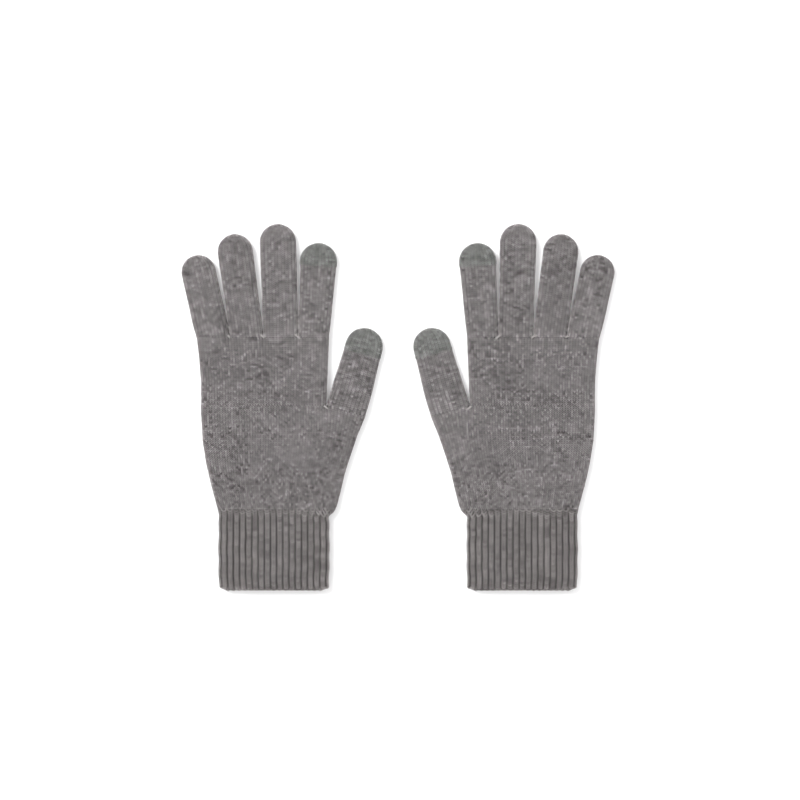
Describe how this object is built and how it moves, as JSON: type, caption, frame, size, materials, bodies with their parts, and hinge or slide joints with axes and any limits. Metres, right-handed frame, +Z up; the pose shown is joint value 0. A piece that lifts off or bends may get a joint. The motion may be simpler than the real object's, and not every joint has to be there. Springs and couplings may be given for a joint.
{
  "type": "touchscreen gloves",
  "caption": "Pair of plain knitted gloves lying flat, with ribbed cuffs and conductive tips on the index fingers and thumbs.",
  "frame": {"origin": "on the table, midway between the two gloves and midway between the fingertips and the cuff mouths", "axes": "+X from the left glove to the right glove, +Y from the cuffs to the fingertips, +Z up off the table"},
  "size_m": [0.2608, 0.2206, 0.0096],
  "materials": {
    "knit": "matt plain knit of grey acrylic yarn",
    "rib_knit": "matt one by one rib of grey acrylic yarn",
    "touch_knit": "plain knit of acrylic with conductive yarn, faintly greenish and a little brighter",
    "elastic_yarn": "rubber core covered with grey thread",
    "binding_thread": "twisted thread"
  },
  "bodies": {
    "left_hand": {"left_hand": "knit", "left_index_middle_stitch": "binding_thread", "left_middle_ring_stitch": "binding_thread", "left_ring_little_stitch": "binding_thread", "left_thumb_stitch": "binding_thread"},
    "left_cuff": {"left_cuff": "rib_knit", "left_cuff_edge": "rib_knit", "left_cuff_elastic": "elastic_yarn"},
    "left_index_lower": {"left_index_lower": "knit"},
    "left_index_upper": {"left_index_upper": "knit", "left_index_touch_tip": "touch_knit"},
    "left_middle_lower": {"left_middle_lower": "knit"},
    "left_middle_upper": {"left_middle_upper": "knit"},
    "left_ring_lower": {"left_ring_lower": "knit"},
    "left_ring_upper": {"left_ring_upper": "knit"},
    "left_little_lower": {"left_little_lower": "knit"},
    "left_little_upper": {"left_little_upper": "knit"},
    "left_thumb_lower": {"left_thumb_lower": "knit"},
    "left_thumb_upper": {"left_thumb_upper": "knit", "left_thumb_touch_tip": "touch_knit"},
    "right_hand": {"right_hand": "knit", "right_index_middle_stitch": "binding_thread", "right_middle_ring_stitch": "binding_thread", "right_ring_little_stitch": "binding_thread", "right_thumb_stitch": "binding_thread"},
    "right_cuff": {"right_cuff": "rib_knit", "right_cuff_edge": "rib_knit", "right_cuff_elastic": "elastic_yarn"},
    "right_index_lower": {"right_index_lower": "knit"},
    "right_index_upper": {"right_index_upper": "knit", "right_index_touch_tip": "touch_knit"},
    "right_middle_lower": {"right_middle_lower": "knit"},
    "right_middle_upper": {"right_middle_upper": "knit"},
    "right_ring_lower": {"right_ring_lower": "knit"},
    "right_ring_upper": {"right_ring_upper": "knit"},
    "right_little_lower": {"right_little_lower": "knit"},
    "right_little_upper": {"right_little_upper": "knit"},
    "right_thumb_lower": {"right_thumb_lower": "knit"},
    "right_thumb_upper": {"right_thumb_upper": "knit", "right_thumb_touch_tip": "touch_knit"}
  },
  "joints": [
    {"name": "left_wrist_fold", "type": "hinge", "parent": "left_hand", "child": "left_cuff", "pos_m": [-0.0745, -0.0604, 0.0048], "axis": [-1, 0, 0], "range_deg": [0, 60]},
    {"name": "left_index_knuckle", "type": "hinge", "parent": "left_hand", "child": "left_index_lower", "pos_m": [-0.0508, 0.0433, 0.0032], "axis": [1, 0, 0], "range_deg": [0, 90]},
    {"name": "left_index_bend", "type": "hinge", "parent": "left_index_lower", "child": "left_index_upper", "pos_m": [-0.04925, 0.067, 0.0032], "axis": [1, 0, 0], "range_deg": [0, 90]},
    {"name": "left_middle_knuckle", "type": "hinge", "parent": "left_hand", "child": "left_middle_lower", "pos_m": [-0.0706, 0.0433, 0.0032], "axis": [1, 0, 0], "range_deg": [0, 90]},
    {"name": "left_middle_bend", "type": "hinge", "parent": "left_middle_lower", "child": "left_middle_upper", "pos_m": [-0.07147, 0.072, 0.0032], "axis": [1, 0, 0], "range_deg": [0, 90]},
    {"name": "left_ring_knuckle", "type": "hinge", "parent": "left_hand", "child": "left_ring_lower", "pos_m": [-0.0912, 0.0433, 0.0032], "axis": [1, 0, 0], "range_deg": [0, 90]},
    {"name": "left_ring_bend", "type": "hinge", "parent": "left_ring_lower", "child": "left_ring_upper", "pos_m": [-0.0947, 0.0695, 0.0032], "axis": [1, 0, 0], "range_deg": [0, 90]},
    {"name": "left_little_knuckle", "type": "hinge", "parent": "left_hand", "child": "left_little_lower", "pos_m": [-0.1114, 0.0433, 0.0032], "axis": [1, 0, 0], "range_deg": [0, 90]},
    {"name": "left_little_bend", "type": "hinge", "parent": "left_little_lower", "child": "left_little_upper", "pos_m": [-0.11593, 0.0635, 0.0032], "axis": [1, 0, 0], "range_deg": [0, 90]},
    {"name": "left_thumb_base", "type": "hinge", "parent": "left_hand", "child": "left_thumb_lower", "pos_m": [-0.02984, 0.00268, 0.0032], "axis": [0.9636, -0.2672, 0], "range_deg": [0, 50]},
    {"name": "left_thumb_bend", "type": "hinge", "parent": "left_thumb_lower", "child": "left_thumb_upper", "pos_m": [-0.02476, 0.02099, 0.0032], "axis": [0.9636, -0.2672, 0], "range_deg": [0, 70]},
    {"name": "right_glove_slide", "type": "slide", "parent": "left_hand", "child": "right_hand", "axis": [1, 0, 0], "range_m": [0, 0.1]},
    {"name": "right_wrist_fold", "type": "hinge", "parent": "right_hand", "child": "right_cuff", "pos_m": [0.0745, -0.0604, 0.0048], "axis": [-1, 0, 0], "range_deg": [0, 60]},
    {"name": "right_index_knuckle", "type": "hinge", "parent": "right_hand", "child": "right_index_lower", "pos_m": [0.0508, 0.0433, 0.0032], "axis": [1, 0, 0], "range_deg": [0, 90]},
    {"name": "right_index_bend", "type": "hinge", "parent": "right_index_lower", "child": "right_index_upper", "pos_m": [0.04925, 0.067, 0.0032], "axis": [1, 0, 0], "range_deg": [0, 90]},
    {"name": "right_middle_knuckle", "type": "hinge", "parent": "right_hand", "child": "right_middle_lower", "pos_m": [0.0706, 0.0433, 0.0032], "axis": [1, 0, 0], "range_deg": [0, 90]},
    {"name": "right_middle_bend", "type": "hinge", "parent": "right_middle_lower", "child": "right_middle_upper", "pos_m": [0.07147, 0.072, 0.0032], "axis": [1, 0, 0], "range_deg": [0, 90]},
    {"name": "right_ring_knuckle", "type": "hinge", "parent": "right_hand", "child": "right_ring_lower", "pos_m": [0.0912, 0.0433, 0.0032], "axis": [1, 0, 0], "range_deg": [0, 90]},
    {"name": "right_ring_bend", "type": "hinge", "parent": "right_ring_lower", "child": "right_ring_upper", "pos_m": [0.0947, 0.0695, 0.0032], "axis": [1, 0, 0], "range_deg": [0, 90]},
    {"name": "right_little_knuckle", "type": "hinge", "parent": "right_hand", "child": "right_little_lower", "pos_m": [0.1114, 0.0433, 0.0032], "axis": [1, 0, 0], "range_deg": [0, 90]},
    {"name": "right_little_bend", "type": "hinge", "parent": "right_little_lower", "child": "right_little_upper", "pos_m": [0.11593, 0.0635, 0.0032], "axis": [1, 0, 0], "range_deg": [0, 90]},
    {"name": "right_thumb_base", "type": "hinge", "parent": "right_hand", "child": "right_thumb_lower", "pos_m": [0.02984, 0.00268, 0.0032], "axis": [0.9636, 0.2672, 0], "range_deg": [0, 50]},
    {"name": "right_thumb_bend", "type": "hinge", "parent": "right_thumb_lower", "child": "right_thumb_upper", "pos_m": [0.02476, 0.02099, 0.0032], "axis": [0.9636, 0.2672, 0], "range_deg": [0, 70]}
  ]
}
